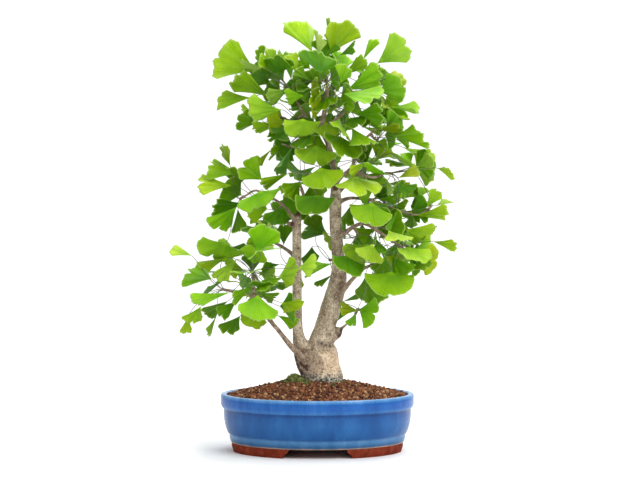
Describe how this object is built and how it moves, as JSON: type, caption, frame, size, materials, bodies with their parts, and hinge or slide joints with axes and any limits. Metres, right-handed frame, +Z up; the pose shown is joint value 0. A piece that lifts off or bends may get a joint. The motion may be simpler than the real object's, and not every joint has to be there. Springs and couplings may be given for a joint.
{
  "type": "ginkgo bonsai",
  "caption": "Ginkgo bonsai with two trunks and fan-shaped leaves on long stalks, growing in a shallow oval glazed pot on cloud feet.",
  "frame": {"origin": "on the ground under the middle of the whole object's box", "axes": "+Z up along the trunks, -Y toward the viewer of the picture, X along the pot's long axis"},
  "size_m": [0.424, 0.268, 0.6508],
  "materials": {
    "pot_glaze": "mid-blue gloss glaze on rim and belly, feet and underside bare terracotta",
    "soil": "rough fired clay grains",
    "bark": "rough grey-brown bark",
    "leaf": "living leaf, satin, slightly see-through",
    "drain_mesh": "black moulded mesh"
  },
  "bodies": {
    "root": {"drain_screen_left": "drain_mesh", "drain_screen_right": "drain_mesh", "pot": "pot_glaze", "soil": "soil", "spray_back_high_tip": "leaf", "spray_back_low_tip": "leaf", "spray_back_middle_tip": "leaf", "spray_back_right_tip": "leaf", "spray_burl_tip": "leaf", "spray_crown_fork": "leaf", "spray_crown_front": "leaf", "spray_crown_left_mid": "leaf", "spray_crown_left_tip": "leaf", "spray_crown_right_mid": "leaf", "spray_crown_right_tip": "leaf", "spray_crown_top": "leaf", "spray_front_middle_tip": "leaf", "spray_left_high_mid": "leaf", "spray_left_high_tip": "leaf", "spray_left_middle_mid": "leaf", "spray_left_shoulder_inner": "leaf", "spray_left_shoulder_mid": "leaf", "spray_left_shoulder_tip": "leaf", "spray_left_trunk_side": "leaf", "spray_left_upright_tip": "leaf", "spray_lower_back_tip": "leaf", "spray_lower_left_far": "leaf", "spray_lower_left_mid": "leaf", "spray_lower_left_tip": "leaf", "spray_right_far_inner": "leaf", "spray_right_far_mid": "leaf", "spray_right_far_tip": "leaf", "spray_right_low_back_tip": "leaf", "spray_right_low_tip": "leaf", "spray_right_middle_inner": "leaf", "spray_right_middle_mid": "leaf", "spray_right_middle_tip": "leaf", "spray_right_twig_tip": "leaf", "spray_right_upper_bend": "leaf", "spray_right_upper_mid": "leaf", "spray_trunk_side_low": "leaf", "tree_wood": "bark"}
  },
  "joints": []
}
